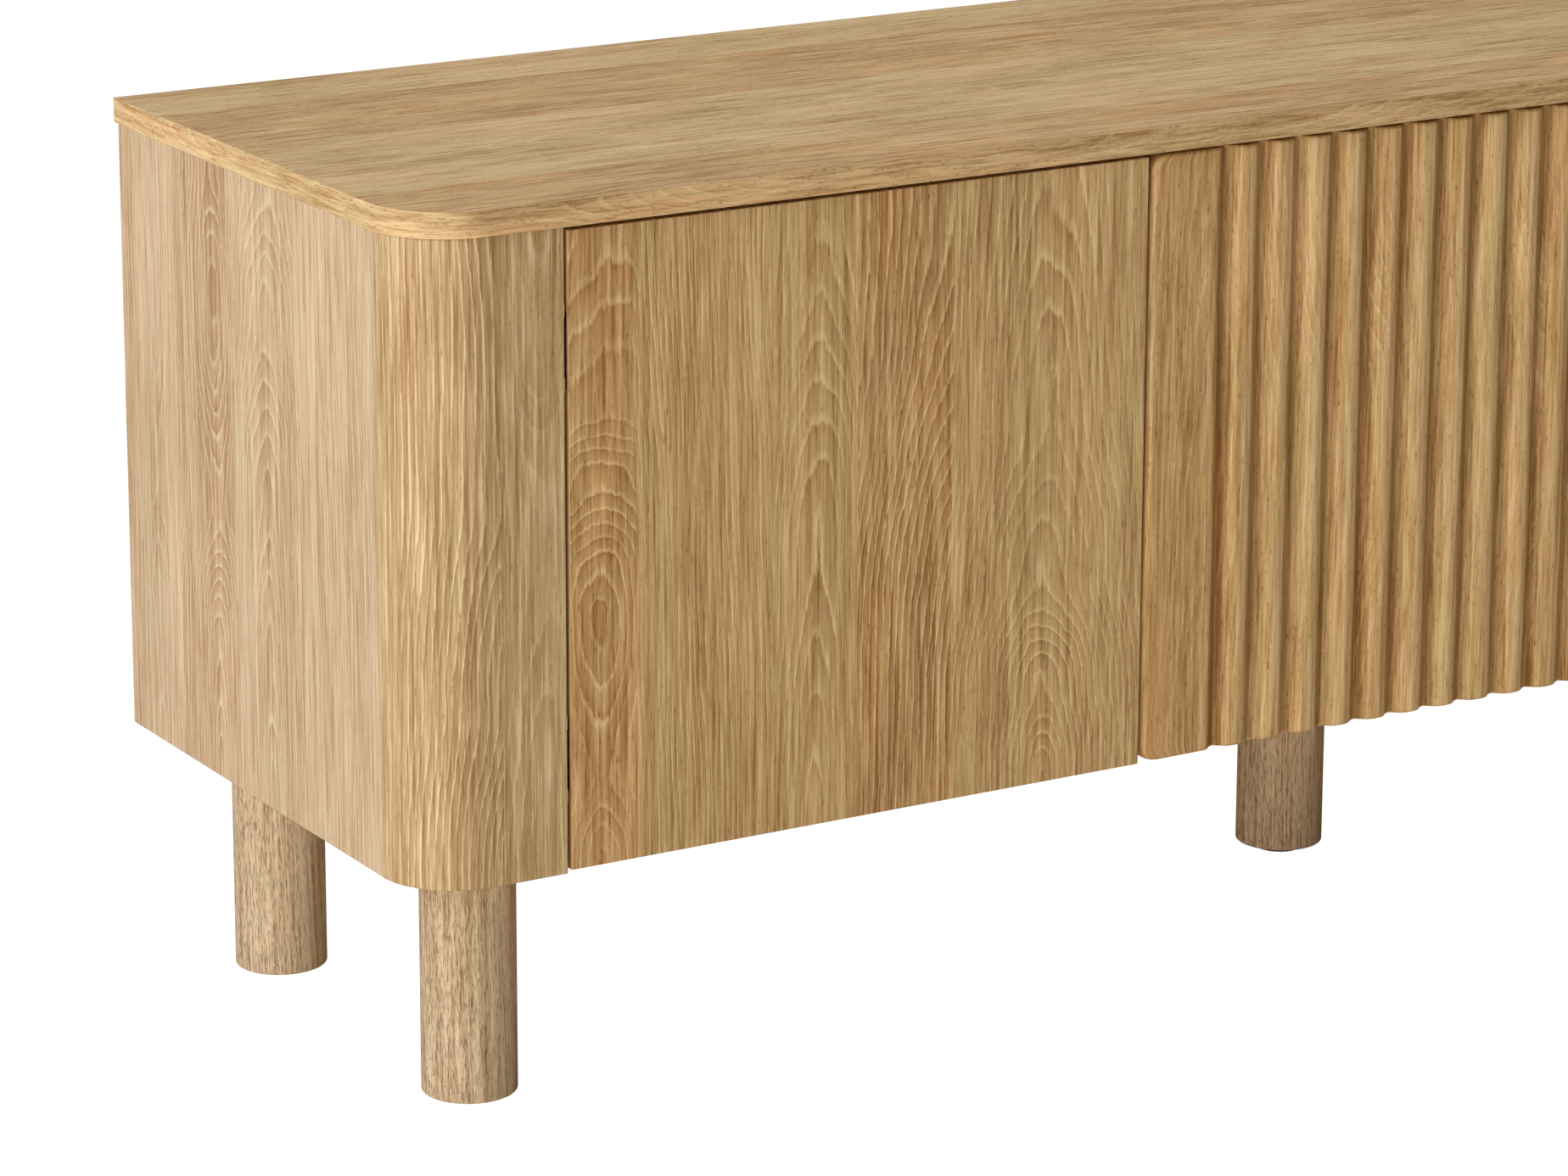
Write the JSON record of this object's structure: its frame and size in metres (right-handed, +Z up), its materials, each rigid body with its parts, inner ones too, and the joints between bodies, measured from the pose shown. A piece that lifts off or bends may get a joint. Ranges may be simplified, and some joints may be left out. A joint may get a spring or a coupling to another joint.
{
  "type": "media cabinet",
  "caption": "Low oak media cabinet on round legs: flat push-to-open doors at the ends, a fluted drop-down flap in the middle, rounded front corners and an overhanging top.",
  "frame": {"origin": "on the floor, under the middle of the cabinet's outer box", "axes": "+X along the cabinet to the viewer's right, -Y towards the front with the doors, +Z up"},
  "size_m": [1.5, 0.398, 0.5535],
  "materials": {
    "oak_top": "matt clear lacquer on oak veneer, grain along the top",
    "oak_side": "matt clear lacquer on oak veneer, grain upright",
    "oak_post": "matt clear lacquer on bent oak veneer, grain upright",
    "oak_door": "matt clear lacquer on oak veneer, grain upright",
    "oak_flap": "matt clear lacquer on solid fluted oak, grain upright",
    "oak_leg": "matt clear lacquer on solid turned oak, grain upright",
    "oak_inside": "matt clear lacquer on plain oak veneer",
    "backing_board": "plain veneered thin board",
    "zinc_steel": "zinc plated steel",
    "dark_steel": "black plated steel",
    "grey_plastic": "matt grey moulding",
    "dark_plastic": "matt near-black moulding"
  },
  "bodies": {
    "cabinet": {"top_panel": "oak_top", "bottom_panel": "oak_inside", "back_panel": "backing_board", "side_panel_left": "oak_side", "side_panel_right": "oak_side", "corner_post_left": "oak_post", "corner_post_right": "oak_post", "post_batten_left": "oak_inside", "post_batten_right": "oak_inside", "divider_left": "oak_inside", "divider_right": "oak_inside", "shelf_left": "oak_inside", "shelf_right": "oak_inside", "cable_outlet_left": "dark_plastic", "cable_outlet_centre": "dark_plastic", "cable_outlet_right": "dark_plastic", "leg_front_left": "oak_leg", "leg_front_right": "oak_leg", "leg_rear_left": "oak_leg", "leg_rear_right": "oak_leg", "leg_centre": "oak_leg", "glide_front_left": "dark_plastic", "glide_front_right": "dark_plastic", "glide_rear_left": "dark_plastic", "glide_rear_right": "dark_plastic", "levelling_foot_centre": "dark_plastic", "hinge_socket_post_left_lower": "zinc_steel", "hinge_socket_post_left_upper": "zinc_steel", "hinge_socket_post_right_lower": "zinc_steel", "hinge_socket_post_right_upper": "zinc_steel", "flap_hinge_fixed_leaf_left": "zinc_steel", "flap_hinge_fixed_leaf_right": "zinc_steel", "flap_hinge_pin_left": "zinc_steel", "flap_hinge_pin_right": "zinc_steel", "stay_stud_left": "zinc_steel", "stay_stud_right": "zinc_steel", "latch_housing_door_left": "grey_plastic", "latch_housing_door_right": "grey_plastic", "latch_housing_flap": "grey_plastic"},
    "door_left": {"door_left": "oak_door", "hinge_socket_door_left_lower": "zinc_steel", "hinge_socket_door_left_upper": "zinc_steel"},
    "door_right": {"door_right": "oak_door", "hinge_socket_door_right_lower": "zinc_steel", "hinge_socket_door_right_upper": "zinc_steel"},
    "hinge_links_left": {"hinge_link_left_lower": "dark_steel", "hinge_link_left_upper": "dark_steel"},
    "hinge_links_right": {"hinge_link_right_lower": "dark_steel", "hinge_link_right_upper": "dark_steel"},
    "flap": {"flap_door": "oak_flap", "flap_hinge_moving_leaf_left": "zinc_steel", "flap_hinge_moving_leaf_right": "zinc_steel", "stay_bracket_left": "zinc_steel", "stay_bracket_right": "zinc_steel"},
    "stay_arms": {"stay_arm_left": "zinc_steel", "stay_arm_right": "zinc_steel"},
    "plunger_door_left": {"latch_plunger_door_left": "grey_plastic"},
    "plunger_door_right": {"latch_plunger_door_right": "grey_plastic"},
    "plunger_flap": {"latch_plunger_flap": "grey_plastic"}
  },
  "joints": [
    {"name": "door_left_hinge", "type": "hinge", "parent": "cabinet", "child": "door_left", "pos_m": [-0.64965, -0.1968, 0.34425], "axis": [0, 0, -1], "range_deg": [0, 95]},
    {"name": "door_right_hinge", "type": "hinge", "parent": "cabinet", "child": "door_right", "pos_m": [0.64965, -0.1968, 0.34425], "axis": [0, 0, 1], "range_deg": [0, 95]},
    {"name": "hinge_links_left_turn", "type": "hinge", "parent": "cabinet", "child": "hinge_links_left", "pos_m": [-0.64965, -0.1968, 0.34425], "axis": [0, 0, -1], "range_deg": [0, 48]},
    {"name": "hinge_links_right_turn", "type": "hinge", "parent": "cabinet", "child": "hinge_links_right", "pos_m": [0.64965, -0.1968, 0.34425], "axis": [0, 0, 1], "range_deg": [0, 48]},
    {"name": "flap_hinge", "type": "hinge", "parent": "cabinet", "child": "flap", "pos_m": [0, -0.17555, 0.1502], "axis": [1, 0, 0], "range_deg": [0, 90]},
    {"name": "stay_arms_turn", "type": "hinge", "parent": "flap", "child": "stay_arms", "pos_m": [0, -0.14862, 0.28024], "axis": [1, 0, 0], "range_deg": [-45.5, 0]},
    {"name": "plunger_door_left_push", "type": "slide", "parent": "cabinet", "child": "plunger_door_left", "axis": [0, 1, 0], "range_m": [0, 0.003], "stiffness_N_per_m": 300},
    {"name": "plunger_door_right_push", "type": "slide", "parent": "cabinet", "child": "plunger_door_right", "axis": [0, 1, 0], "range_m": [0, 0.003], "stiffness_N_per_m": 300},
    {"name": "plunger_flap_push", "type": "slide", "parent": "cabinet", "child": "plunger_flap", "axis": [0, 1, 0], "range_m": [0, 0.003], "stiffness_N_per_m": 300}
  ],
  "couplings": [
    {"joint": "hinge_links_left_turn", "follows": "door_left_hinge", "ratio": 0.5},
    {"joint": "hinge_links_right_turn", "follows": "door_right_hinge", "ratio": 0.5},
    {"joint": "stay_arms_turn", "follows": "flap_hinge", "ratio": -0.5}
  ]
}
